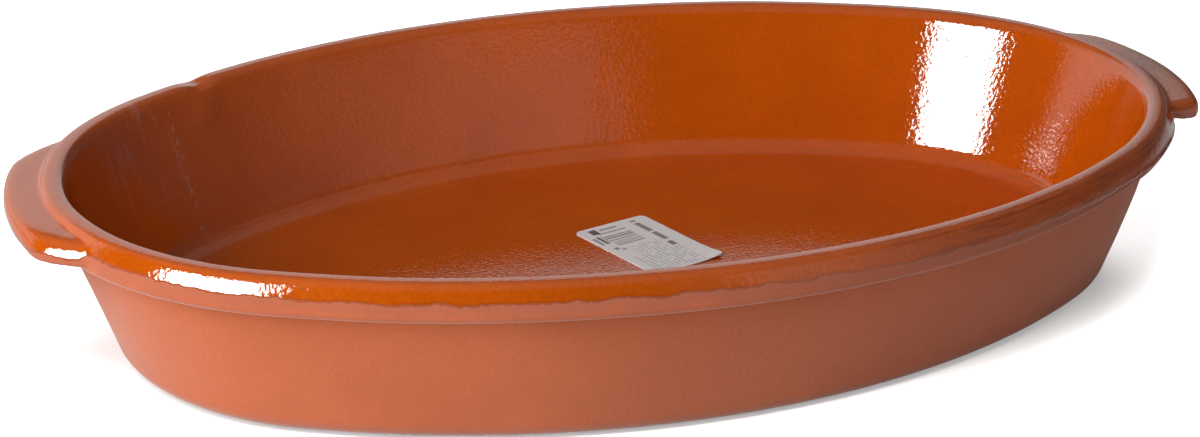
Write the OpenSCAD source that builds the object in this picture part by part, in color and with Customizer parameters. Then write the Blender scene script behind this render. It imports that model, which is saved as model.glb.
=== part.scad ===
// Oval earthenware baking dish with two side lugs, and the paper label stuck to its floor.
// The plan is an oval of four arcs. One wall section is carried round it, so rim, wall, cove
// and foot keep the same form all the way round. The origin is under the middle of the dish,
// on the surface it stands on, with X along its length and Z up.

/* [Oval plan] */
// Length over the rim, without the lugs
rim_length = 350; // [320:1:400]
// Width over the rim
rim_width = 237; // [215:1:255]
// Half of the angle that each end arc spans, in degrees
end_half_angle = 56.5; // [52:0.5:62]

/* [Wall] */
// Height from the table to the crest of the rim
height = 54.5; // [45:0.5:80]
// Thickness of the floor
floor_thickness = 8; // [6:0.5:11]
// Thickness of the wall, measured level through it
wall_thickness = 6; // [5:0.1:7.5]
// Lean of the wall away from upright, in degrees
wall_lean = 20.4; // [14:0.1:25]
// Radius of the foot, where the wall turns into the underside
foot_radius = 9; // [5:0.5:11]
// Radius of the cove, where the wall turns into the floor inside
cove_radius = 8; // [5:0.5:12]

/* [Rim] */
// Overhang of the rolled rim past the wall below it
rim_overhang = 6.7; // [5.5:0.1:8]
// Level distance from the outside of the rim to its crest
rim_crest_inset = 5; // [4.8:0.1:5.5]
// Radius that rounds the outer side of the crest
rim_crown_radius = 4; // [3:0.1:4.5]
// Depth of the widest line of the rim below its crest
rim_widest_drop = 8.5; // [7.5:0.1:9.5]
// Radius that rounds the lower edge of the rim
rim_edge_radius = 2.5; // [1.5:0.1:3]
// Depth below the crest where the underside of the rim meets the wall
rim_root_drop = 12.4; // [11.8:0.1:15]
// Radius of the hollow between the rim and the wall
rim_root_radius = 2; // [1:0.1:3]

/* [Lugs] */
// Reach of each lug past the outside of the rim
lug_reach = 8.3; // [5:0.1:16]
// Thickness of each lug
lug_thickness = 6.6; // [5:0.1:7.5]
// Step down from the crest of the rim to the top of each lug
lug_drop = 2.3; // [1.5:0.1:3.5]
// Length of each lug along its outer edge
lug_tip_length = 62; // [50:1:72]
// Length of each lug where it joins the rim
lug_root_length = 78; // [74:1:100]
// Radius of the two outer corners of each lug, seen from above
lug_corner_radius = 7; // [5:0.5:10]
// Turn of the left lug round its end of the dish, in degrees
left_lug_turn = -5.5; // [-10:0.5:10]
// Turn of the right lug round its end of the dish, in degrees
right_lug_turn = -2; // [-10:0.5:10]

/* [Dent in the rim] */
// Depth of the thumb dent in the crest
dent_depth = 0.7; // [0.3:0.1:1.5]
// Radius of the thumb that left the dent
dent_radius = 14; // [8:1:25]
// Turn of the dent round the back arc, in degrees from +X
dent_turn = 117.7; // [95:0.1:120]

/* [Label] */
// Width of the label
label_width = 26.5; // [20:0.5:36]
// Length of the label
label_length = 42; // [32:0.5:56]
// Thickness of the paper with its glue
label_thickness = 0.3; // [0.3:0.05:0.6]
// Radius of the corners of the label
label_corner_radius = 2; // [1:0.1:4]
// Middle of the label along the dish
label_x = 13.3; // [-60:0.1:60]
// Middle of the label across the dish
label_y = 13.7; // [-30:0.1:30]
// Turn of the label, in degrees
label_turn = 14; // [-90:1:90]
// Length of the loose corner, from its fold to its tip
peel_length = 9; // [5:0.5:12]
// Radius that the loose corner curls up on
peel_radius = 40; // [20:1:80]

/* [Hidden] */
$fn = 180;
// Angle between the points along each arc of the wall section
arc_step = 7.5;
// Sides of the round parts that make up a lug, and of the label's corners
hull_sides = 32;
// Parts of the arc along the outer edge of a lug
lug_arc_parts = 12;
// Angle by which the lower edge of the rim turns under, from its widest line
rim_edge_turn = 60;
// Width of the ring of floor that is carried round with the wall, from where the two would meet
floor_ring_width = 3 * cove_radius;
// Overlap of that ring with the plate that fills the middle of the floor
seam_overlap = 6;

// The oval is drawn from two centres on X for its ends and two on Y for its sides
end_centre = (rim_length - rim_width) / 2 / (1 - (1 - sin(end_half_angle)) / cos(end_half_angle));
end_radius = rim_length / 2 - end_centre;
side_centre = end_centre * tan(end_half_angle);
side_radius = side_centre + rim_width / 2;

// In the wall section X is 0 at the outside of the rim and negative inwards, and Y is the height
wall_slope = tan(wall_lean);
wall_top = height - rim_root_drop;
outer_foot = -rim_overhang - wall_top * wall_slope;
inner_foot = outer_foot + floor_thickness * wall_slope - wall_thickness;
floor_seam = inner_foot - floor_ring_width;

// The outer side of the rim is two arcs that run into each other, and the inner side is one
// arc that runs into the inside of the wall
widest_height = height - rim_widest_drop;
rim_side_radius = (pow(rim_crest_inset, 2) + pow(rim_widest_drop - rim_crown_radius, 2)
    - pow(rim_crown_radius, 2)) / (2 * (rim_crest_inset - rim_crown_radius));
rim_blend_angle = atan2(rim_widest_drop - rim_crown_radius, rim_side_radius - rim_crest_inset);
rim_inner_radius = ((-inner_foot - rim_crest_inset) * cos(wall_lean)
    - (height - floor_thickness) * sin(wall_lean)) / (1 - sin(wall_lean));

// Points along an arc about a centre, from angle a to angle b
function arc(centre, radius, a, b) =
    let (steps = max(2, ceil(abs(b - a) / arc_step)))
    [for (i = [0 : steps]) centre + radius * [cos(a + (b - a) * i / steps), sin(a + (b - a) * i / steps)]];

// Points that round the corner q between p and r, where the outline bends by less than a half turn
function rounded_corner(p, q, r, radius) =
    let (
        u = (p - q) / norm(p - q),
        v = (r - q) / norm(r - q),
        half_corner = acos(u * v) / 2,
        centre = q + (u + v) / norm(u + v) * radius / sin(half_corner),
        first = q + u * radius / tan(half_corner) - centre,
        last = q + v * radius / tan(half_corner) - centre,
        a = atan2(first[1], first[0]),
        turn = (atan2(last[1], last[0]) - a + 540) % 360 - 180
    )
    arc(centre, radius, a, a + turn);

module wall_section() {
    rim_edge = arc([-rim_edge_radius, widest_height], rim_edge_radius, -rim_edge_turn, 0);
    rim_outside = arc([-rim_side_radius, widest_height], rim_side_radius, 0, rim_blend_angle);
    rim_crown = arc([-rim_crest_inset, height - rim_crown_radius], rim_crown_radius, rim_blend_angle, 90);
    rim_inside = arc([-rim_crest_inset, height - rim_inner_radius], rim_inner_radius, 90, 180 - wall_lean);
    seam_bottom = [floor_seam, 0];
    seam_top = [floor_seam, floor_thickness];
    foot = [outer_foot, 0];
    root = [-rim_overhang, wall_top];
    cove = [inner_foot, floor_thickness];
    polygon(concat(
        [seam_bottom],
        rounded_corner(seam_bottom, foot, root, foot_radius),
        rounded_corner(foot, root, rim_edge[0], rim_root_radius),
        rim_edge,
        rim_outside,
        rim_crown,
        rim_inside,
        rounded_corner(rim_inside[len(rim_inside) - 1], cove, seam_top, cove_radius),
        [seam_top]
    ));
}

// A move made in two steps, to the nearest thousandth and then the small rest, which keeps its
// last decimals, so that arcs drawn from different centres meet without a gap
module move(way) {
    first_step = [for (length = way) round(1000 * length) / 1000];
    translate(first_step) translate(way - first_step) children();
}

// Carries a section round the oval, with its X of 0 along the outside of the rim
module round_the_oval() {
    for (turn = [0, 180]) rotate(turn) {
        move([end_centre, 0])
            rotate_extrude(start = -end_half_angle, angle = 2 * end_half_angle)
                move([end_radius, 0]) children();
        move([0, -side_centre])
            rotate_extrude(start = end_half_angle, angle = 180 - 2 * end_half_angle)
                move([side_radius, 0]) children();
    }
}

// The oval filled in, this far inside the outside of the rim
module oval(inset) {
    corner_x = end_centre + (end_radius - inset) * cos(end_half_angle);
    for (side = [-1, 1]) translate([side * end_centre, 0]) circle(end_radius - inset);
    intersection() {
        square([2 * corner_x, rim_width], center = true);
        translate([0, side_centre]) circle(side_radius - inset);
        translate([0, -side_centre]) circle(side_radius - inset);
    }
}

// One lug, drawn about the centre of its end arc and pointing along X. Its rounded slab is cut
// off inside the rim, under the crest
module lug() {
    rounding = lug_thickness / 2;
    tip_radius = end_radius + lug_reach;
    corner_path = tip_radius - lug_corner_radius;
    corner_angle = asin(lug_tip_length / 2 / tip_radius) - asin(lug_corner_radius / corner_path);
    root_path = end_radius - rim_crest_inset;
    root_angle = asin(lug_root_length / 2 / root_path);
    translate([0, 0, height - lug_drop - rounding]) difference() {
        hull() {
            for (i = [0 : lug_arc_parts]) rotate(corner_angle * (2 * i / lug_arc_parts - 1))
                translate([tip_radius - rounding, 0]) sphere(rounding, $fn = hull_sides);
            for (side = [-1, 1]) {
                rotate(side * corner_angle) translate([corner_path, 0])
                    rotate_extrude($fn = hull_sides)
                        translate([lug_corner_radius - rounding, 0]) circle(rounding, $fn = hull_sides);
                rotate(side * root_angle) translate([root_path, 0]) sphere(rounding, $fn = hull_sides);
            }
        }
        cylinder(2 * lug_thickness, root_path, root_path, center = true);
    }
}

// The thumb that pressed the rim while the clay was soft
module thumb() {
    translate([0, -side_centre]) rotate(dent_turn)
        translate([side_radius - rim_crest_inset, 0, height - dent_depth + dent_radius])
            sphere(dent_radius);
}

module dish() color("sienna") {
    difference() {
        union() {
            round_the_oval() wall_section();
            linear_extrude(floor_thickness) oval(-floor_seam - seam_overlap);
            translate([end_centre, 0]) rotate(right_lug_turn) lug();
            translate([-end_centre, 0]) rotate(180 + left_lug_turn) lug();
        }
        thumb();
    }
}

// A level sheet whose end, from X of 0 on, curls up round a cylinder that lies along Y
module curling_sheet(flat, curl, breadth) {
    curl_angle = curl / peel_radius * 180 / PI;
    rotate([90, 0, 0]) linear_extrude(breadth, center = true) polygon(concat(
        [[-flat, 0]],
        arc([0, peel_radius], peel_radius, -90, curl_angle - 90),
        arc([0, peel_radius], peel_radius - label_thickness, curl_angle - 90, -90),
        [[-flat, label_thickness]]
    ));
}

// The label lies on the floor, and its corner nearest the right of the dish has come loose
module label() color("white")
    translate([label_x, label_y, floor_thickness]) rotate(label_turn) {
        diagonal = norm([label_width, label_length]);
        intersection() {
            linear_extrude(peel_length)
                offset(label_corner_radius, $fn = hull_sides)
                    square([label_width, label_length] - 2 * label_corner_radius * [1, 1], center = true);
            translate([label_width / 2, -label_length / 2]) rotate(-45)
                translate([-peel_length, 0])
                    curling_sheet(2 * diagonal, 2 * peel_length, 2 * diagonal);
        }
    }

dish();
label();
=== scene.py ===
import math

import bpy
import numpy as np
from mathutils import Matrix


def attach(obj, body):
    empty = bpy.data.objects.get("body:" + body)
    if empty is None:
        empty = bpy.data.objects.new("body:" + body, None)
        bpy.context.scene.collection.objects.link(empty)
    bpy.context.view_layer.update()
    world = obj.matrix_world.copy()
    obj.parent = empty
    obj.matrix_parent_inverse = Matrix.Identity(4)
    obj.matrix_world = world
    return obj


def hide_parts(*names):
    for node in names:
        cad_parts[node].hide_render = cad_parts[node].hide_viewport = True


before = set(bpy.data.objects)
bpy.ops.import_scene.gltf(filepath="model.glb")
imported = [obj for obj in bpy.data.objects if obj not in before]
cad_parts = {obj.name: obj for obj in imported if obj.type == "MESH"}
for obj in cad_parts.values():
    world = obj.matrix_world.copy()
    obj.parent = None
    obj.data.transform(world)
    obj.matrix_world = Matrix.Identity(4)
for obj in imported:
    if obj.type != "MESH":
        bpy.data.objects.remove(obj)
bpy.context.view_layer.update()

scene = bpy.context.scene
scene.view_settings.view_transform = "Standard"


# ---- Camera ----
# The camera stands in front of the dish and to its left, a little above the rim, and looks
# down into it through a long lens.
camera_data = bpy.data.cameras.new("camera")
camera_data.sensor_width = 36.0
camera_data.lens = 83.9
camera = bpy.data.objects.new("camera", camera_data)
camera.matrix_world = (
    Matrix.Translation((-0.29893, -0.72356, 0.33016))
    @ Matrix.Rotation(math.radians(-21.881), 4, "Z")
    @ Matrix.Rotation(math.radians(90 - 21.385), 4, "X")
    @ Matrix.Rotation(math.radians(0.099), 4, "Z")
)
scene.collection.objects.link(camera)
scene.camera = camera


# ---- Dish: its shape ----
# The dish is one piece of red earthenware, pressed by hand over an oval mould. The same wall
# section runs round an oval of four arcs: flat underside, foot, leaning wall, rolled rim, cove
# and floor. A lug is pushed out of the rim at each end, and nothing about it is quite even.
MM = 0.001
RIM_HEIGHT = 54.5 * MM
FLOOR_HEIGHT = 8 * MM
HALF_LENGTH = 175 * MM
HALF_WIDTH = 118.5 * MM
END_HALF_ANGLE = math.radians(56.5)
WALL_SLOPE = math.tan(math.radians(20.4))
RIM_OVERHANG = 6.7 * MM
ROOT_DROP = 12.4 * MM
WALL_THICKNESS = 6 * MM
FLOOR_RING = 24 * MM
CREST_INSET = 5 * MM
WIDEST_DROP = 8.5 * MM
CROWN_RADIUS = 4 * MM
CROWN_TO_WIDEST = WIDEST_DROP - CROWN_RADIUS
EDGE_RADIUS = 2.5 * MM
ROOT_RADIUS = 2 * MM
FOOT_RADIUS = 9 * MM
COVE_RADIUS = 8 * MM
LUG_REACH = 8.3 * MM
LUG_TIP_SPARE = 0.3 * MM
LUG_CORNER_SOFTNESS = 1.2 * MM
LUG_THICKNESS = 7.2 * MM
LUG_HEART = (-4.5 * MM, RIM_HEIGHT - 5.5 * MM)

# Where each lug leaves the rim and where it reaches its tip, first on the side towards the
# camera and then on the side away from it, from the middle of the end
RIGHT_LUG = [42.5 * MM, 38 * MM, 40 * MM, 27 * MM]
LEFT_LUG = [34 * MM, 22 * MM, 58 * MM, 39 * MM]
# Where there is no lug, its slab ends this far inside the rim
NO_LUG = -3 * MM
END_STATIONS, SIDE_STATIONS = 190, 130

side_share = (1 - math.sin(END_HALF_ANGLE)) / math.cos(END_HALF_ANGLE)
end_centre = (HALF_LENGTH - HALF_WIDTH) / (1 - side_share)
end_radius = HALF_LENGTH - end_centre
side_centre = end_centre * math.tan(END_HALF_ANGLE)
side_radius = side_centre + HALF_WIDTH


def soft_least(values, softness):
    """The smallest of several arrays, with the corners between them rounded off."""
    values = np.array(values) / softness
    least = values.min(0)
    return softness * (least - np.log(np.exp(least - values).sum(0)))


def lug_reach(run, near_root, near_tip, far_root, far_tip):
    """How far a lug stands out of the rim, by the way along the rim from the middle of the end."""
    near = LUG_REACH * (run + near_root) / (near_root - near_tip)
    far = LUG_REACH * (far_root - run) / (far_root - far_tip)
    tip = np.full_like(run, LUG_REACH + LUG_TIP_SPARE)
    return np.maximum(soft_least([near, far, tip], LUG_CORNER_SOFTNESS), NO_LUG)


def even_steps(first, last, count):
    """Angles in degrees from first up to last, without the last one, as radians."""
    return np.radians(first + (last - first) * np.arange(count) / count)


# The oval, walked round from the front of the right end
spread = math.degrees(END_HALF_ANGLE)
right_end = even_steps(-spread, spread, END_STATIONS)
back_side = even_steps(spread, 180 - spread, SIDE_STATIONS)
left_end = even_steps(180 - spread, 180 + spread, END_STATIONS)
front_side = even_steps(180 + spread, 360 - spread, SIDE_STATIONS)
arcs = (
    (right_end, (end_centre, 0), end_radius), (back_side, (0, -side_centre), side_radius),
    (left_end, (-end_centre, 0), end_radius), (front_side, (0, side_centre), side_radius),
)
oval_angle = np.concatenate([angles for angles, _, _ in arcs])
oval_centre = np.concatenate([np.tile(centre, (len(angles), 1)) for angles, centre, _ in arcs])
oval_radius = np.concatenate([np.full(len(angles), radius) for angles, _, radius in arcs])
oval_outward = np.stack([np.cos(oval_angle), np.sin(oval_angle), 0 * oval_angle], 1)
oval_points = np.pad(oval_centre, ((0, 0), (0, 1))) + oval_outward * oval_radius[:, None]
left_run = (math.pi - left_end) * end_radius
no_lug = np.full(SIDE_STATIONS, NO_LUG)
oval_reach = np.concatenate([
    lug_reach(right_end * end_radius, *RIGHT_LUG), no_lug, lug_reach(left_run, *LEFT_LUG), no_lug,
])

# The outer face of the left lug leans back where it runs into the rim at the front
lean_back = np.interp(left_run, [-24 * MM, -8 * MM], [1, 0])
oval_lean = np.concatenate([
    np.zeros(END_STATIONS + SIDE_STATIONS), lean_back * lean_back * (3 - 2 * lean_back),
    np.zeros(SIDE_STATIONS),
])

# The crest of the rim is lower in some places than in others, by hand, and beside the right lug
# the wall was pressed in at the top: bearing in degrees about the middle of the dish, and depth
# in millimetres
CREST_FALL = [
    (-180, 0.3), (-150, 0.3), (-120, 0.1), (-95, 0.0), (-60, 0.4), (-35, 0.7), (-15, 0.4),
    (5, 0.0), (18, 0.0), (30, 0.3), (45, 0.0), (130, 0.0), (150, 0.2), (180, 0.3),
]
PRESSED_IN = [
    (-180, 0.0), (-50, 0.0), (-40, 0.8), (-30, 2.2), (-22, 3.0), (-15, 2.4), (-9, 0.4),
    (-4, 0.0), (180, 0.0),
]
SMOOTHING_PASSES = 3
SMOOTHING_STATIONS = 31
oval_bearing = np.degrees(np.arctan2(oval_points[:, 1], oval_points[:, 0]))


def by_bearing(list_of_depths):
    """A depth for each station of the oval, from a list by bearing, with its corners smoothed."""
    depth = np.interp(oval_bearing, *zip(*list_of_depths)) * MM
    window = np.ones(SMOOTHING_STATIONS) / SMOOTHING_STATIONS
    for _ in range(SMOOTHING_PASSES):
        depth = np.convolve(np.tile(depth, 3), window, "same")[len(depth):2 * len(depth)]
    return depth


oval_fall, oval_pinch = by_bearing(CREST_FALL), by_bearing(PRESSED_IN)


def bend(centre, radius, first, last, count):
    """Points of the wall section along an arc, in degrees from the level."""
    angle = np.radians(np.linspace(first, last, count))
    return np.array(centre) + radius * np.stack([np.cos(angle), np.sin(angle)], 1)


def rounded(before, corner, after, radius, count):
    """Points of the wall section that round a corner between two straight runs."""
    u = (before - corner) / np.linalg.norm(before - corner)
    v = (after - corner) / np.linalg.norm(after - corner)
    half = math.acos(u @ v) / 2
    centre = corner + (u + v) / np.linalg.norm(u + v) * radius / math.sin(half)
    ends = [corner + way * radius / math.tan(half) - centre for way in (u, v)]
    first, last = [math.degrees(math.atan2(end[1], end[0])) for end in ends]
    return bend(centre, radius, first, first + (last - first + 180) % 360 - 180, count)


FLAT_HALF_WIDTH = 3.6 * MM
FLATTENING = 0.72


def flattened(points):
    """Points of the wall section, with the crest of the rim pressed to a flatter top."""
    off_crest = np.minimum(np.abs(points[:, 0] + CREST_INSET) / FLAT_HALF_WIDTH, 1)
    kept_fall = 1 - FLATTENING * (1 - off_crest ** 3) ** 2
    return np.stack([points[:, 0], RIM_HEIGHT - (RIM_HEIGHT - points[:, 1]) * kept_fall], 1)


def straight(start, end, count):
    """Points between two points of the wall section, without the two themselves."""
    return np.linspace(start, end, count + 2)[1:-1]


# The wall section: the way out from the outside of the rim, and the height
root = np.array([-RIM_OVERHANG, RIM_HEIGHT - ROOT_DROP])
outer_foot = np.array([root[0] - root[1] * WALL_SLOPE, 0])
inner_foot = np.array([outer_foot[0] + FLOOR_HEIGHT * WALL_SLOPE - WALL_THICKNESS, FLOOR_HEIGHT])
under_seam = np.array([inner_foot[0] - FLOOR_RING, 0])
floor_seam = np.array([inner_foot[0] - FLOOR_RING, FLOOR_HEIGHT])
lean = math.atan(WALL_SLOPE)
inner_roll = ((-inner_foot[0] - CREST_INSET) * math.cos(lean)
              - (RIM_HEIGHT - FLOOR_HEIGHT) * math.sin(lean)) / (1 - math.sin(lean))
widest = RIM_HEIGHT - WIDEST_DROP
side_roll = CREST_INSET ** 2 + CROWN_TO_WIDEST ** 2 - CROWN_RADIUS ** 2
side_roll /= 2 * (CREST_INSET - CROWN_RADIUS)
side_turn = math.degrees(math.atan2(CROWN_TO_WIDEST, side_roll - CREST_INSET))

foot = rounded(under_seam, outer_foot, root, FOOT_RADIUS, 9)
edge = bend([-EDGE_RADIUS, widest], EDGE_RADIUS, -60, 0, 40)
hollow = rounded(outer_foot, root, edge[0], ROOT_RADIUS, 6)
crown_centre = [-CREST_INSET, RIM_HEIGHT - CROWN_RADIUS]
rim_outside = np.concatenate([
    straight(hollow[-1], edge[0], 40), edge,
    bend([-side_roll, widest], side_roll, 0, side_turn, 60),
    flattened(bend(crown_centre, CROWN_RADIUS, side_turn, 90, 60)),
])

# On the outside of the rim the rows lie at even bearings from the heart of the lug, more widely
# spaced where it looks down, so that they stay even when a lug is pushed out
from_heart = rim_outside - np.array(LUG_HEART)
rim_bearing = np.degrees(np.arctan2(from_heart[:, 1], from_heart[:, 0]))
bearings = np.concatenate([np.arange(-100, -58, 7), np.arange(-56, 92, 3.2)])
rim_rows = np.stack([np.interp(bearings, rim_bearing, rim_outside[:, i]) for i in (0, 1)], 1)
roll_centre = [-CREST_INSET, RIM_HEIGHT - inner_roll]
roll = flattened(bend(roll_centre, inner_roll, 94, 180 - math.degrees(lean), 18))
cove = rounded(roll[-1], inner_foot, floor_seam, COVE_RADIUS, 10)
outer_wall = straight(foot[-1], hollow[0], 12)
inner_wall = straight(roll[-1], cove[0], 18)
floor_run = straight(cove[-1], floor_seam, 5)

# The flat middle, below and above, is the first and the last row drawn in by steps to a point
rings = np.array([0, 0.06, 0.2, 0.4, 0.6, 0.8, 1])
rows = np.concatenate([
    np.tile(under_seam, (len(rings), 1)), foot, outer_wall, hollow, rim_rows, roll, inner_wall,
    cove, floor_run, np.tile(floor_seam, (len(rings), 1)),
])
row_shrink = np.concatenate([rings, np.ones(len(rows) - 2 * len(rings)), rings[::-1]])
first_rim_row = len(rings) + len(foot) + len(outer_wall) + len(hollow)
first_inner_row = first_rim_row + len(rim_rows)
row_index = np.arange(len(rows))
row_is_rim = ((row_index >= first_rim_row) & (row_index < first_inner_row)).astype(float)
row_is_inside = (row_index >= first_inner_row).astype(float)


def line_object(name, points, numbers):
    """A loose run of points that carries its own numbers, for the tree to read."""
    mesh = bpy.data.meshes.new(name)
    mesh.from_pydata([tuple(p) for p in points], [(i, i + 1) for i in range(len(points) - 1)], [])
    for key, values in numbers.items():
        values = np.asarray(values, float)
        kind = "FLOAT_VECTOR" if values.ndim == 2 else "FLOAT"
        column = mesh.attributes.new(key, kind, "POINT")
        column.data.foreach_set("vector" if values.ndim == 2 else "value", values.ravel())
    made = bpy.data.objects.new(name, mesh)
    scene.collection.objects.link(made)
    return made


oval_line = line_object("oval_line", oval_points, {
    "outward": oval_outward, "reach": oval_reach, "fall": oval_fall, "lean": oval_lean,
    "pinch": oval_pinch,
})
section_line = line_object("section_line", np.stack([rows[:, 0], 0 * rows[:, 0], rows[:, 1]], 1), {
    "shrink": row_shrink, "rim": row_is_rim, "inside": row_is_inside,
})


def add(tree, kind, sockets=None, **settings):
    """Adds a node, sets what it does, and fills its sockets with values or other nodes' outputs."""
    made = tree.nodes.new(kind)
    for key, value in settings.items():
        setattr(made, key, value)
    for key, value in (sockets or {}).items():
        if isinstance(value, bpy.types.NodeSocket):
            tree.links.new(value, made.inputs[key])
        else:
            made.inputs[key].default_value = value
    return made


def maths(tree, operation, *values, clamp=False):
    """One sum, as a Math node."""
    return add(tree, "ShaderNodeMath", dict(enumerate(values)), operation=operation,
               use_clamp=clamp).outputs[0]


def plus(tree, first, second, clamp=False):
    """Two values added."""
    return maths(tree, "ADD", first, second, clamp=clamp)


def minus(tree, first, second):
    """The second value taken from the first."""
    return maths(tree, "SUBTRACT", first, second)


def times(tree, first, second, clamp=False):
    """Two values multiplied."""
    return maths(tree, "MULTIPLY", first, second, clamp=clamp)


def between(tree, value, low, high, kind="SMOOTHSTEP"):
    """0 below low, 1 above high, and a smooth rise between the two."""
    return add(tree, "ShaderNodeMapRange", {
        "Value": value, "From Min": low, "From Max": high,
    }, interpolation_type=kind).outputs[0]


def vectors(tree, operation, *values):
    """One sum on vectors."""
    made = add(tree, "ShaderNodeVectorMath", operation=operation)
    for index, value in enumerate(values):
        socket = made.inputs["Scale"] if operation == "SCALE" and index == 1 else made.inputs[index]
        if isinstance(value, bpy.types.NodeSocket):
            tree.links.new(value, socket)
        else:
            socket.default_value = value
    return made.outputs["Value" if operation in ("LENGTH", "DISTANCE", "DOT_PRODUCT") else "Vector"]


# The tree lays a grid of stations round the oval by rows along the section, puts each point in
# its place, pushes the rim out where a lug is, and adds what the hands left uneven
sweep = bpy.data.node_groups.new("wall section round the oval", "GeometryNodeTree")
for name, kind in (
    ("Oval line", "Geometry"), ("Wall section", "Object"), ("Stations", "Int"), ("Rows", "Int"),
    ("Crest height", "Float"), ("Lug heart", "Vector"), ("Lug thickness", "Float"),
    ("Lug face roll", "Float"), ("Lug face drop", "Float"), ("Lug edge softness", "Float"),
    ("Valley softness", "Float"), ("Unevenness", "Float"), ("Seed", "Float"),
    ("Dent place", "Vector"), ("Dent depth", "Float"), ("Clay", "Material"),
):
    sweep.interface.new_socket(name=name, in_out="INPUT", socket_type="NodeSocket" + kind)
sweep.interface.new_socket(name="Geometry", in_out="OUTPUT", socket_type="NodeSocketGeometry")
given = sweep.nodes.new("NodeGroupInput").outputs
section = add(sweep, "GeometryNodeObjectInfo", {
    "Object": given["Wall section"]}).outputs["Geometry"]
grid = add(sweep, "GeometryNodeMeshGrid", {
    "Size X": 1.0, "Size Y": 1.0, "Vertices X": plus(sweep, given["Stations"], 1.0),
    "Vertices Y": given["Rows"],
}).outputs["Mesh"]
index = plus(sweep, sweep.nodes.new("GeometryNodeInputIndex").outputs[0], 0.5)
station = maths(sweep, "FLOOR", maths(sweep, "DIVIDE", index, given["Rows"]))
row = maths(sweep, "FLOOR", minus(sweep, index, times(sweep, station, given["Rows"])))
station = maths(sweep, "MODULO", plus(sweep, station, 0.25), given["Stations"])


def sampled(geometry, key, kind, at):
    """A number or vector that one of the two lines carries, read at a station or a row."""
    if key == "position":
        value = sweep.nodes.new("GeometryNodeInputPosition").outputs[0]
    else:
        value = add(sweep, "GeometryNodeInputNamedAttribute", {
            "Name": key}, data_type=kind).outputs["Attribute"]
    reader = add(sweep, "GeometryNodeSampleIndex", data_type=kind, domain="POINT", clamp=True)
    sweep.links.new(geometry, reader.inputs["Geometry"])
    sweep.links.new(value, reader.inputs["Value"])
    sweep.links.new(maths(sweep, "FLOOR", at), reader.inputs["Index"])
    return reader.outputs["Value"]


on_oval = sampled(given["Oval line"], "position", "FLOAT_VECTOR", station)
outward = sampled(given["Oval line"], "outward", "FLOAT_VECTOR", station)
reach = sampled(given["Oval line"], "reach", "FLOAT", station)
fall = sampled(given["Oval line"], "fall", "FLOAT", station)
lean_share = sampled(given["Oval line"], "lean", "FLOAT", station)
pinch = sampled(given["Oval line"], "pinch", "FLOAT", station)
row_middle = plus(sweep, row, 0.25)
on_section = sampled(section, "position", "FLOAT_VECTOR", row_middle)
shrink = sampled(section, "shrink", "FLOAT", row_middle)
is_rim = sampled(section, "rim", "FLOAT", row_middle)
is_inside = sampled(section, "inside", "FLOAT", row_middle)
section_out, _, section_up = add(sweep, "ShaderNodeSeparateXYZ", {0: on_section}).outputs
heart_out, _, heart_up = add(sweep, "ShaderNodeSeparateXYZ", {0: given["Lug heart"]}).outputs

# The lug is a slab with a slightly rolled face at its end. Each point of the rim moves straight
# away from the heart of the lug, to the slab or to the rim, whichever is further out, with a
# soft valley between
step_out = minus(sweep, section_out, heart_out)
step_up = minus(sweep, section_up, heart_up)
to_rim = maths(sweep, "SQRT", plus(sweep, times(sweep, step_out, step_out),
                                    times(sweep, step_up, step_up)))
level_share = maths(sweep, "DIVIDE", step_out, to_rim)
upright_share = maths(sweep, "DIVIDE", step_up, to_rim)
half_slab = times(sweep, given["Lug thickness"], 0.5)
face_roll = given["Lug face roll"]
face_drop = times(sweep, given["Lug face drop"], lean_share)
face_centre = minus(sweep, minus(sweep, reach, face_roll), heart_out)
steepness = maths(sweep, "MAXIMUM", maths(sweep, "ABSOLUTE", upright_share), 0.01)
to_flat = maths(sweep, "DIVIDE", half_slab, steepness)
face_along = minus(sweep, times(sweep, face_centre, level_share),
                   times(sweep, face_drop, upright_share))
face_off = plus(sweep, times(sweep, face_centre, upright_share),
                 times(sweep, face_drop, level_share))
chord_square = minus(sweep, times(sweep, face_roll, face_roll), times(sweep, face_off, face_off))
half_chord = maths(sweep, "SQRT", maths(sweep, "MAXIMUM", chord_square, 0.0))
to_face = plus(sweep, face_along, half_chord)
to_slab = maths(sweep, "SMOOTH_MIN", to_flat, to_face, given["Lug edge softness"])
to_skin = maths(sweep, "SMOOTH_MAX", to_rim, to_slab, given["Valley softness"])
push = times(sweep, is_rim, minus(sweep, to_skin, to_rim))
out = plus(sweep, section_out, times(sweep, push, level_share))
up = plus(sweep, section_up, times(sweep, push, upright_share))

# The crest sinks where the hands pressed it, and less and less so towards the foot. Beside the
# right lug the top of the wall was pressed in, and its lower part gave way outwards a little
height_share = maths(sweep, "POWER", maths(sweep, "DIVIDE", up, given["Crest height"]), 2.0)
sunk = minus(sweep, up, times(sweep, fall, height_share))
pressed_share = minus(sweep, times(sweep, height_share, 1.3), 0.3)
out = minus(sweep, out, times(sweep, pinch, pressed_share))

# The same hand pushed the lower edge of the rim up there, on the outside only
edge_share = times(sweep, between(sweep, section_up, 30 * MM, 42.5 * MM),
                   between(sweep, section_up, 50 * MM, 44 * MM))
edge_share = times(sweep, edge_share, minus(sweep, 1.0, is_inside))
sunk = plus(sweep, sunk, times(sweep, times(sweep, pinch, 1.3), edge_share))

# Each point in its place on the oval
from_middle = vectors(sweep, "ADD", on_oval, vectors(sweep, "SCALE", outward, out))
flat_place = vectors(sweep, "SCALE", from_middle, shrink)
lift = add(sweep, "ShaderNodeCombineXYZ", {"Z": sunk}).outputs[0]
place = vectors(sweep, "ADD", flat_place, lift)

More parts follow.
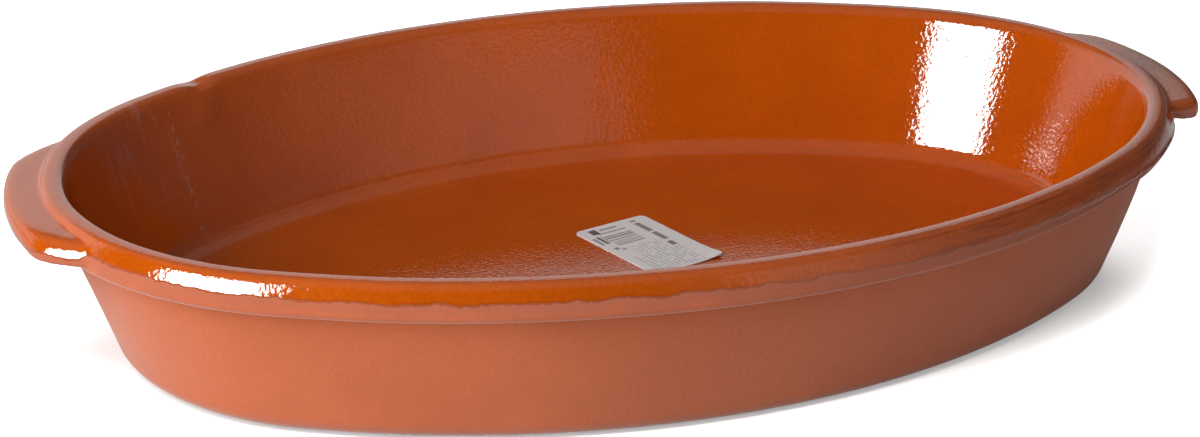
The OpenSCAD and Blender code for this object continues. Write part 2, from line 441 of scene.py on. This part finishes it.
# Slow waves in the wall with finer ones on them, inwards so that the dish keeps its size, and
# none where it stands on the table
waves = add(sweep, "ShaderNodeTexNoise", {
    "Vector": place, "W": given["Seed"], "Scale": 22.0, "Detail": 1.0, "Roughness": 0.5,
}, noise_dimensions="4D").outputs[0]
ripples = add(sweep, "ShaderNodeTexNoise", {
    "Vector": place, "W": given["Seed"], "Scale": 75.0, "Detail": 2.0, "Roughness": 0.5,
}, noise_dimensions="4D").outputs[0]
wave_share = plus(sweep, waves, times(sweep, minus(sweep, ripples, 0.5), 0.22))
off_ground = times(sweep, minus(sweep, up, 2 * MM), 200.0, clamp=True)
wave_depth = times(sweep, times(sweep, given["Unevenness"], wave_share), off_ground)
wave_depth = times(sweep, wave_depth, maths(sweep, "POWER", shrink, 4.0))
waved = vectors(sweep, "SUBTRACT", place, vectors(sweep, "SCALE", outward, wave_depth))

# The dent: the crest is pressed down, and the clay bulges into the dish just below it
DENT_RADIUS = 4.2 * MM
BULGE_RADIUS = 5 * MM
BULGE_FROM_DENT = (3.5 * MM, -8.5 * MM, -6 * MM)


def nearness(middle, radius):
    """1 at a place, falling off smoothly with the distance from it."""
    distance = maths(sweep, "DIVIDE", vectors(sweep, "DISTANCE", waved, middle), radius)
    return maths(sweep, "EXPONENT", times(sweep, maths(sweep, "POWER", distance, 2.0), -1.0))


pressed = times(sweep, nearness(given["Dent place"], DENT_RADIUS), given["Dent depth"])
pressed = add(sweep, "ShaderNodeCombineXYZ", {"Z": times(sweep, pressed, -1.0)}).outputs[0]
bulge_place = vectors(sweep, "ADD", given["Dent place"], BULGE_FROM_DENT)
bulge = times(sweep, nearness(bulge_place, BULGE_RADIUS), is_inside)
bulge = times(sweep, bulge, given["Dent depth"])
dented = vectors(sweep, "ADD", waved, pressed)
dented = vectors(sweep, "SUBTRACT", dented, vectors(sweep, "SCALE", outward, bulge))
shaped = add(sweep, "GeometryNodeSetPosition", {"Geometry": grid, "Position": dented}).outputs[0]

# How far each point lies above the lower edge of the glaze, which reaches further down on a
# lug. All of the inside counts as far above it
GLAZE_DEPTH = 5.3 * MM
GLAZE_DEPTH_MORE_ON_LUG = 1.6 * MM
WELL_ABOVE = 100 * MM
on_lug = maths(sweep, "DIVIDE", reach, 4 * MM, clamp=True)
glaze_depth = plus(sweep, GLAZE_DEPTH, times(sweep, on_lug, GLAZE_DEPTH_MORE_ON_LUG))
crest_here = minus(sweep, given["Crest height"], fall)
above_line = minus(sweep, sunk, minus(sweep, crest_here, glaze_depth))
above_line = plus(sweep, above_line, times(sweep, is_inside, WELL_ABOVE))
noted = add(sweep, "GeometryNodeStoreNamedAttribute", {
    "Geometry": shaped, "Name": "above_glaze_line", "Value": above_line,
}, data_type="FLOAT", domain="POINT").outputs[0]
joined = add(sweep, "GeometryNodeMergeByDistance", {
    "Geometry": noted, "Distance": 1e-6}).outputs[0]
smooth = add(sweep, "GeometryNodeSetShadeSmooth", {
    "Geometry": joined, "Shade Smooth": True}).outputs[0]
whole = add(sweep, "GeometryNodeRealizeInstances", {"Geometry": smooth}).outputs[0]
finished = add(sweep, "GeometryNodeSetMaterial", {
    "Geometry": whole, "Material": given["Clay"]}).outputs[0]
add(sweep, "NodeGroupOutput", {"Geometry": finished})


# ---- Dish: its clay and glaze ----
# The outside is bare fired clay, matt and finely grained. A clear honey-coloured lead glaze was
# poured into the dish and over the rim, and ends in a ragged line on its outer side, above its
# widest part. It is thin, glossy and slightly rippled, with a few pits where it drew back.
clay = bpy.data.materials.new("earthenware_half_glazed")
clay.use_nodes = True
clay_tree = clay.node_tree
clay_tree.nodes.clear()
at = clay_tree.nodes.new("ShaderNodeTexCoord").outputs["Object"]


def noise(tree, scale, detail=2.0, roughness=0.5, vector=None):
    """Cloudy noise, given as so many features to the metre."""
    return add(tree, "ShaderNodeTexNoise", {
        "Vector": vector if vector is not None else at, "Scale": scale, "Detail": detail,
        "Roughness": roughness,
    }).outputs[0]


def blend(tree, share, first, second):
    """A mix of two colours."""
    made = add(tree, "ShaderNodeMix", {"Factor": share}, data_type="RGBA")
    for slot, value in ((6, first), (7, second)):
        if isinstance(value, bpy.types.NodeSocket):
            tree.links.new(value, made.inputs[slot])
        else:
            made.inputs[slot].default_value = (*value, 1.0)
    return made.outputs[2]


above = add(clay_tree, "ShaderNodeAttribute", attribute_name="above_glaze_line").outputs["Fac"]
ragged = times(clay_tree, minus(clay_tree, noise(clay_tree, 150, 3, 0.6), 0.5), 0.0034)
at_x, at_y, at_z = add(clay_tree, "ShaderNodeSeparateXYZ", {0: at}).outputs
front_right = times(clay_tree, between(clay_tree, at_x, -0.02, 0.05),
                    between(clay_tree, at_y, -0.04, -0.08))
glaze_edge = plus(clay_tree, plus(clay_tree, above, ragged), times(clay_tree, front_right, 0.0012))
glazed = between(clay_tree, glaze_edge, -0.00012, 0.00012)
pit_cells = add(clay_tree, "ShaderNodeTexVoronoi", {"Vector": at, "Scale": 95.0, "Randomness": 1.0})
pit_pick = add(clay_tree, "ShaderNodeSeparateColor", {0: pit_cells.outputs["Color"]}).outputs[0]
pit_size = times(clay_tree, between(clay_tree, pit_pick, 0.80, 1.0, "LINEAR"), 0.09)
in_pit = between(clay_tree, minus(clay_tree, pit_size, pit_cells.outputs["Distance"]), 0.0, 0.03)

# The glaze over the clay: a deep orange, darker where it lies thick
glaze_cloud = noise(clay_tree, 28, 3, 0.55)
glaze_grain = noise(clay_tree, 900, 2, 0.6)
glaze_colour = blend(clay_tree, between(clay_tree, glaze_cloud, 0.3, 0.7),
                     (0.495, 0.079, 0.0011), (0.550, 0.091, 0.0014))
glaze_colour = blend(clay_tree, times(clay_tree, between(clay_tree, glaze_grain, 0.35, 0.75), 0.35),
                     glaze_colour, (0.355, 0.052, 0.0008))
thick_edge = minus(clay_tree, 1.0, between(clay_tree, glaze_edge, 0.0002, 0.0012))
glaze_colour = blend(clay_tree, times(clay_tree, thick_edge, 0.55), glaze_colour,
                     (0.24, 0.036, 0.003))

# Where it ran along the front of the rim it left brown streaks, mostly towards the right
along_rim = add(clay_tree, "ShaderNodeCombineXYZ", {
    "X": times(clay_tree, at_x, 55.0), "Y": times(clay_tree, at_y, 55.0),
    "Z": times(clay_tree, above, 1100.0)}).outputs[0]
streaks = between(clay_tree, noise(clay_tree, 1.0, 3, 0.6, along_rim), 0.47, 0.66)
streaks = times(clay_tree, streaks, between(clay_tree, at_x, -0.02, 0.10))
streaks = times(clay_tree, streaks, between(clay_tree, above, 0.0060, 0.0045))
glaze_colour = blend(clay_tree, times(clay_tree, streaks, 0.6), glaze_colour, (0.17, 0.026, 0.004))

# In the left end it ran down the wall in streaks, which end in a broken line of beads, by
# bearing about the middle of the left end. They stand up a little in the relief, and their pale
# colour is a painted reflection of the room in them
LEFT_END_MIDDLE = 80.8 * MM
bearing = maths(clay_tree, "ARCTAN2", at_y, plus(clay_tree, at_x, LEFT_END_MIDDLE))
bearing = maths(clay_tree, "DEGREES", bearing)
bearing = plus(clay_tree, bearing, times(clay_tree, noise(clay_tree, 140, 3, 0.6), 3.0))
bearing = plus(clay_tree, bearing, times(clay_tree, noise(clay_tree, 520, 2, 0.6), 1.6))
off_line = maths(clay_tree, "ABSOLUTE", minus(clay_tree, bearing, 120.7))
bead = between(clay_tree, noise(clay_tree, 420, 2, 0.6), 0.46, 0.58)
beads_and_painted_glint = times(clay_tree, between(clay_tree, off_line, 0.55, 0.2), bead)
run_place = add(clay_tree, "ShaderNodeCombineXYZ", {
    "X": times(clay_tree, bearing, 0.45), "Y": times(clay_tree, at_z, 42.0)}).outputs[0]
streaks_and_painted_glint = between(clay_tree, noise(clay_tree, 1.0, 3, 0.6, run_place), 0.50, 0.70)
streaks_and_painted_glint = times(clay_tree, streaks_and_painted_glint, between(clay_tree, bearing, 119.5, 122.0))
streaks_and_painted_glint = times(clay_tree, streaks_and_painted_glint, times(clay_tree, between(clay_tree, bearing, 152.0, 136.0),
                                      between(clay_tree, at_z, 0.018, 0.042)))
runs_and_painted_glint = plus(clay_tree, times(clay_tree, beads_and_painted_glint, 0.55), times(clay_tree, streaks_and_painted_glint, 0.42),
            clamp=True)
runs_and_painted_glint = times(clay_tree, runs_and_painted_glint, times(clay_tree, between(clay_tree, above, 0.02, 0.04),
                                    between(clay_tree, at_z, 0.009, 0.012)))
# Painted reflection: the runs and beads are turned pale pink where the room would shine in them
glaze_colour = blend(clay_tree, runs_and_painted_glint, glaze_colour, (0.50, 0.24, 0.17))

# The bare clay: brick red, clouded, finely speckled, and darker and greyer in a band just below the
# glaze line
clay_cloud = noise(clay_tree, 18, 4, 0.6)
clay_grain = noise(clay_tree, 1300, 3, 0.65)
clay_colour = blend(clay_tree, between(clay_tree, clay_cloud, 0.3, 0.7),
                    (0.615, 0.150, 0.056), (0.690, 0.170, 0.066))
clay_colour = blend(clay_tree, times(clay_tree, between(clay_tree, clay_grain, 0.42, 0.80), 0.5),
                    clay_colour, (0.50, 0.112, 0.046))
band_edge = plus(clay_tree, glaze_edge, times(clay_tree, noise(clay_tree, 60, 2), 0.004))
below_glaze_band = times(clay_tree, between(clay_tree, band_edge, -0.0045, 0.0015), 0.75)
clay_colour = blend(clay_tree, below_glaze_band, clay_colour, (0.43, 0.130, 0.077))

colour = blend(clay_tree, glazed, clay_colour, glaze_colour)
colour = blend(clay_tree, times(clay_tree, in_pit, 0.75), colour, (0.16, 0.035, 0.012))

# Relief: the grain of the clay, and in the glaze its fine peel, its ripple, the step at its
# edge, its pits, the runs that stand on it, and a low ridge where it gathered along the cove
GRAIN_DEPTH = 0.05 * MM
PEEL_DEPTH = 0.088 * MM
RIPPLE_DEPTH = 0.03 * MM
EDGE_STEP = 0.12 * MM
PIT_DEPTH = 0.08 * MM
RUN_HEIGHT = 0.12 * MM
COVE_RIDGE_HEIGHT = 0.05 * MM
grain = times(clay_tree, noise(clay_tree, 1100, 3, 0.6), GRAIN_DEPTH)
peel = times(clay_tree, noise(clay_tree, 760, 2, 0.5), PEEL_DEPTH)
peel = plus(clay_tree, peel, times(clay_tree, noise(clay_tree, 130, 1, 0.5), RIPPLE_DEPTH))
over_edge = between(clay_tree, glaze_edge, -0.0001, 0.0005)
peel = plus(clay_tree, peel, times(clay_tree, over_edge, EDGE_STEP))
peel = minus(clay_tree, peel, times(clay_tree, in_pit, PIT_DEPTH))
peel = plus(clay_tree, peel, times(clay_tree, runs_and_painted_glint, RUN_HEIGHT))
cove_ridge = times(clay_tree, between(clay_tree, at_z, 0.0100, 0.0107),
                   between(clay_tree, at_z, 0.0115, 0.0108))
cove_ridge = times(clay_tree, cove_ridge, between(clay_tree, above, 0.02, 0.04))
peel = plus(clay_tree, peel, times(clay_tree, cove_ridge, COVE_RIDGE_HEIGHT))
grain = times(clay_tree, grain, minus(clay_tree, 1.0, glazed))
relief = plus(clay_tree, grain, peel)
clay_normal = add(clay_tree, "ShaderNodeBump", {"Height": relief, "Distance": 1.0}).outputs[0]
glaze_normal = add(clay_tree, "ShaderNodeBump", {"Height": peel, "Distance": 1.0}).outputs[0]
skin = add(clay_tree, "ShaderNodeBsdfPrincipled", {
    "Base Color": colour, "Roughness": 0.85, "Specular IOR Level": 0.0, "Normal": clay_normal,
    "Coat Weight": glazed, "Coat Roughness": 0.06, "Coat IOR": 1.7, "Coat Normal": glaze_normal,
    "Sheen Weight": times(clay_tree, minus(clay_tree, 1.0, glazed), 0.62), "Sheen Roughness": 0.42,
})
add(clay_tree, "ShaderNodeOutputMaterial", {"Surface": skin.outputs[0]})

carrier = oval_line.modifiers.new("sweep", "NODES")
inputs = {
    item.name: item.identifier
    for item in sweep.interface.items_tree if item.in_out == "INPUT"
}
for name, value in {
    "Wall section": section_line, "Stations": len(oval_points), "Rows": len(rows),
    "Crest height": RIM_HEIGHT, "Lug heart": (LUG_HEART[0], 0.0, LUG_HEART[1]),
    "Lug thickness": LUG_THICKNESS, "Lug face roll": 6.5 * MM, "Lug face drop": 2.6 * MM,
    "Lug edge softness": 4 * MM, "Valley softness": 1.6 * MM, "Unevenness": 0.9 * MM, "Seed": 3.0,
    "Dent place": (-109.1 * MM, 85.1 * MM, RIM_HEIGHT), "Dent depth": 1.3 * MM, "Clay": clay,
}.items():
    carrier[inputs[name]] = value
carrier.node_group = sweep
evaluated = bpy.context.evaluated_depsgraph_get()
dish_mesh = bpy.data.meshes.new_from_object(oval_line.evaluated_get(evaluated))
oval_line.modifiers.clear()
for helper in (oval_line, section_line):
    helper_mesh = helper.data
    bpy.data.objects.remove(helper)
    bpy.data.meshes.remove(helper_mesh)
dish = bpy.data.objects.new("dish_body", dish_mesh)
scene.collection.objects.link(dish)
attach(dish, "root")
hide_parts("dish")


# ---- Label ----
# A small white paper label is stuck to the floor of the dish, with a loose corner that curls up.
# It is printed in grey with nothing but bars, rules, dashes and blocks.
paper = bpy.data.materials.new("printed_paper")
paper.use_nodes = True
paper_tree = paper.node_tree
paper_tree.nodes.clear()
paper_at = paper_tree.nodes.new("ShaderNodeTexCoord").outputs["Object"]
LABEL_MIDDLE = (13.3 * MM, 13.7 * MM)
LABEL_TURN = math.radians(14)
to_middle = vectors(paper_tree, "SUBTRACT", paper_at, (*LABEL_MIDDLE, 0.0))
turned_back = add(paper_tree, "ShaderNodeVectorRotate", {
    "Vector": to_middle, "Angle": -LABEL_TURN}, rotation_type="Z_AXIS").outputs[0]
across, along, _ = add(paper_tree, "ShaderNodeSeparateXYZ", {0: turned_back}).outputs
across = times(paper_tree, across, 1000.0)
along = times(paper_tree, along, 1000.0)


def printed_field(left, right, low, high):
    """1 inside a rectangle on the label, given in millimetres from its middle, and 0 outside it."""
    off_middle_across = maths(paper_tree, "ABSOLUTE", minus(paper_tree, across, (left + right) / 2))
    off_middle_along = maths(paper_tree, "ABSOLUTE", minus(paper_tree, along, (low + high) / 2))
    out_across = minus(paper_tree, off_middle_across, (right - left) / 2)
    out_along = minus(paper_tree, off_middle_along, (high - low) / 2)
    return between(paper_tree, maths(paper_tree, "MAXIMUM", out_across, out_along), 0.12, -0.12)


def step_number(value, step, offset):
    """The number of the step along a line in which a place lies."""
    return maths(paper_tree, "DIVIDE", plus(paper_tree, value, offset), step)


def random_steps(value, step, offset, share):
    """Bars of one step each along a line, of which this share is printed."""
    cell = add(paper_tree, "ShaderNodeTexWhiteNoise", {
        "W": maths(paper_tree, "FLOOR", step_number(value, step, offset)),
    }, noise_dimensions="1D")
    return maths(paper_tree, "LESS_THAN", cell.outputs["Value"], share)


# Rows of dashes, each row with its own run of them
ROW_STEP = 1.5
ROW_OFFSET = 40.0
PRINTED_PART_OF_ROW = 0.42
row_number = step_number(across, ROW_STEP, ROW_OFFSET)
row_shift = times(paper_tree, maths(paper_tree, "FLOOR", row_number), 7.3)
row_share = maths(paper_tree, "FRACT", row_number)
in_rule = maths(paper_tree, "LESS_THAN", row_share, PRINTED_PART_OF_ROW)
dashes = random_steps(plus(paper_tree, along, row_shift), 0.9, 50.0, 0.78)
dashed_rows = times(paper_tree, in_rule, dashes)

# Each mark: its field, how dark its ink is, and the steps that break it up
ink = 0.0
for field, darkness, steps in (
    ((-8.2, 2.2, 3.6, 16.6), 0.62, random_steps(along, 0.42, 50.0, 0.50)),
    ((-5.8, 0.6, 17.3, 18.3), 0.70, None),
    ((-9.6, -6.9, 15.4, 19.2), 0.92, None),
    ((-10.4, -9.3, 7.2, 13.6), 0.88, None),
    ((-12.2, -11.1, 7.0, 13.0), 0.60, None),
    ((-8.9, -8.4, 7.6, 13.4), 0.60, None),
    ((-11.0, -9.4, 1.6, 3.4), 0.65, None),
    ((-9.2, -7.6, 0.2, 1.8), 0.50, None),
    ((6.3, 8.3, -0.6, 18.8), 0.72, random_steps(along, 1.15, 50.3, 0.80)),
    ((5.7, 7.7, -4.9, -1.6), 0.82, random_steps(along, 0.9, 50.0, 0.85)),
    ((-10.6, 7.4, -20.0, -6.0), 0.34, dashed_rows),
    ((-6.6, 5.2, -6.0, 1.8), 0.30, dashed_rows),
):
    mark = times(paper_tree, printed_field(*field), darkness)
    if steps is not None:
        mark = times(paper_tree, mark, steps)
    ink = maths(paper_tree, "MAXIMUM", mark, ink)
is_face = between(paper_tree, add(paper_tree, "ShaderNodeSeparateXYZ", {
    0: paper_tree.nodes.new("ShaderNodeNewGeometry").outputs["True Normal"]}).outputs[2], 0.4, 0.6)
ink = times(paper_tree, ink, is_face)
paper_colour = blend(paper_tree, noise(paper_tree, 500, 2, 0.5, paper_at),
                     (0.79, 0.79, 0.80), (0.87, 0.87, 0.87))
paper_colour = blend(paper_tree, ink, paper_colour, (0.045, 0.045, 0.050))
sheet = add(paper_tree, "ShaderNodeBsdfPrincipled", {"Base Color": paper_colour, "Roughness": 0.5})
add(paper_tree, "ShaderNodeOutputMaterial", {"Surface": sheet.outputs[0]})
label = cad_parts["label"]
label.data.materials.clear()
label.data.materials.append(paper)


# ---- Table ----
# The dish stands on a plain white table, painted matt, that runs on to the horizon and keeps
# the soft shadow. The camera sees it white, and it throws only a little light back on the dish.
table = bpy.data.materials.new("white_table")
table.use_nodes = True
table_tree = table.node_tree
table_tree.nodes.clear()
rays = table_tree.nodes.new("ShaderNodeLightPath").outputs
tone = plus(table_tree, 0.17, times(table_tree, rays["Is Camera Ray"], 0.63))
lit = add(table_tree, "ShaderNodeBsdfDiffuse", {"Color": tone})
looked_at = plus(table_tree, rays["Is Camera Ray"], times(table_tree, rays["Is Glossy Ray"], 0.8))
plain = add(table_tree, "ShaderNodeEmission", {"Strength": times(table_tree, looked_at, 0.33)})
mixed = add(table_tree, "ShaderNodeAddShader", {0: lit.outputs[0], 1: plain.outputs[0]})
add(table_tree, "ShaderNodeOutputMaterial", {"Surface": mixed.outputs[0]})
table_mesh = bpy.data.meshes.new("table")
HALF_TABLE = 12.0
BELOW_DISH = -0.2 * MM
corners = [(-1, -1), (1, -1), (1, 1), (-1, 1)]
table_mesh.from_pydata(
    [(x * HALF_TABLE, y * HALF_TABLE, BELOW_DISH) for x, y in corners], [], [(0, 1, 2, 3)])
table_mesh.materials.append(table)
table_top = bpy.data.objects.new("table_top", table_mesh)
scene.collection.objects.link(table_top)


# ---- Light ----
# A large soft box stands to the left in front of the dish, a white sweep closes off the room
# behind it, a pale panel stands to the right in front, and the rest of the room is dim.
def area_lamp(name, azimuth, elevation, distance, width, height, radiance):
    """A rectangular lamp that faces the middle of the dish, and that only matt surfaces show."""
    lamp = bpy.data.lights.new(name, "AREA")
    lamp.shape = "RECTANGLE"
    lamp.size, lamp.size_y = width, height
    lamp.energy = radiance * width * height * math.pi
    made = bpy.data.objects.new(name, lamp)
    made.matrix_world = (
        Matrix.Rotation(math.radians(azimuth + 90), 4, "Z")
        @ Matrix.Rotation(math.radians(90 - elevation), 4, "X")
        @ Matrix.Translation((0, 0, distance)))
    made.visible_camera = made.visible_glossy = False
    scene.collection.objects.link(made)
    return made


area_lamp("soft_box_light", azimuth=-158, elevation=24, distance=1.1, width=0.62, height=0.9,
          radiance=7.7)

# Two small lamps light nothing but the table, and leave a shadow only beside the foot at the right
only_table = bpy.data.collections.new("only_table")
only_table.objects.link(table_top)
for table_lamp in (
    area_lamp("table_light_front", azimuth=-122, elevation=53, distance=1.0, width=0.35,
              height=0.35, radiance=41.0),
    area_lamp("table_light_back", azimuth=60, elevation=30, distance=1.0, width=0.5,
              height=0.4, radiance=19.0),
):
    table_lamp.light_linking.receiver_collection = only_table


# What the gloss of the glaze shows of them: the cloth of the soft box, and the pale panel, whose
# light fades towards its far end
def shining_card(name, start, end, low, high, strength, far_share):
    """An upright card between two places on the floor, which only glossy surfaces see."""
    cloth = bpy.data.materials.new(name)
    cloth.use_nodes = True
    cloth_tree = cloth.node_tree
    cloth_tree.nodes.clear()
    span = (end[0] - start[0], end[1] - start[1], 0.0)
    cloth_at = cloth_tree.nodes.new("ShaderNodeTexCoord").outputs["Object"]
    from_start = vectors(cloth_tree, "SUBTRACT", cloth_at, (*start, 0.0))
    share = maths(cloth_tree, "DIVIDE", vectors(cloth_tree, "DOT_PRODUCT", from_start, span),
                  span[0] ** 2 + span[1] ** 2)
    fading = add(cloth_tree, "ShaderNodeMapRange", {
        "Value": share, "From Min": 0.1, "From Max": 0.8, "To Min": strength,
        "To Max": strength * far_share,
    }).outputs[0]
    glow = add(cloth_tree, "ShaderNodeEmission", {"Strength": fading})
    add(cloth_tree, "ShaderNodeOutputMaterial", {"Surface": glow.outputs[0]})
    mesh = bpy.data.meshes.new(name)
    mesh.from_pydata([(*start, low), (*end, low), (*end, high), (*start, high)], [], [(0, 1, 2, 3)])
    mesh.materials.append(cloth)
    made = bpy.data.objects.new(name, mesh)
    made.visible_camera = made.visible_diffuse = made.visible_shadow = False
    scene.collection.objects.link(made)


shining_card("soft_box_cloth", start=(-1.804, -0.123), end=(-1.189, -0.884), low=0.04, high=0.85,
             strength=38.0, far_share=1.0)
shining_card("pale_panel", start=(0.068, -0.409), end=(0.560, -0.260), low=0.0, high=0.26,
             strength=0.48, far_share=0.35)

# The room itself, by bearing in degrees and by height: how bright the gloss shows each part of
# it, how much light each part sends to matt surfaces, and plain white for the camera
SWEEP_SHINE, SIDE_SHINE, CEILING_SHINE, DIM_SHINE = 0.86, 0.09, 0.23, 0.02
SWEEP_LEVEL, PANEL_LEVEL = 0.5, 0.84
world = bpy.data.worlds.new("studio")
scene.world = world
world.use_nodes = True
room = world.node_tree
room.nodes.clear()
room_rays = room.nodes.new("ShaderNodeLightPath").outputs
way = room.nodes.new("ShaderNodeTexCoord").outputs["Generated"]
way_x, way_y, way_z = add(room, "ShaderNodeSeparateXYZ", {0: way}).outputs
azimuth = maths(room, "DEGREES", maths(room, "ARCTAN2", way_y, way_x))
sweep_left_edge = between(room, azimuth, 155, 145)
sweep_light = times(room, between(room, azimuth, 48, 66), sweep_left_edge)
sweep_tone = add(room, "ShaderNodeMapRange", {
    "Value": azimuth, "From Min": 70.0, "From Max": 130.0, "To Min": 0.68, "To Max": 0.90,
}).outputs[0]
sweep_light = times(room, sweep_light, sweep_tone)
panel_light = times(room, between(room, azimuth, -88, -86), between(room, azimuth, -25, -65))
side_light = times(room, between(room, azimuth, -88, -80), between(room, azimuth, 60, 40))
ceiling_light = between(room, way_z, 0.45, 0.75)
sweep_shine = times(room, between(room, azimuth, 48, 62), sweep_left_edge)
sweep_shine = times(room, times(room, sweep_shine, between(room, way_z, 0.62, 0.47)), SWEEP_SHINE)
glossy_room = plus(room, sweep_shine, times(room, side_light, SIDE_SHINE))
glossy_room = maths(room, "MAXIMUM", glossy_room, times(room, ceiling_light, CEILING_SHINE))
glossy_room = plus(room, glossy_room, DIM_SHINE)
diffuse_room = plus(room, times(room, sweep_light, SWEEP_LEVEL),
                    times(room, panel_light, PANEL_LEVEL))
room_light = diffuse_room
for ray, light in (("Is Glossy Ray", glossy_room), ("Is Camera Ray", 1.0)):
    room_light = add(room, "ShaderNodeMix", {
        "Factor": room_rays[ray], "A": room_light, "B": light,
    }, data_type="FLOAT").outputs[0]
sky = add(room, "ShaderNodeBackground", {"Color": (1.0, 1.0, 1.0, 1.0), "Strength": room_light})
add(room, "ShaderNodeOutputWorld", {"Surface": sky.outputs[0]})
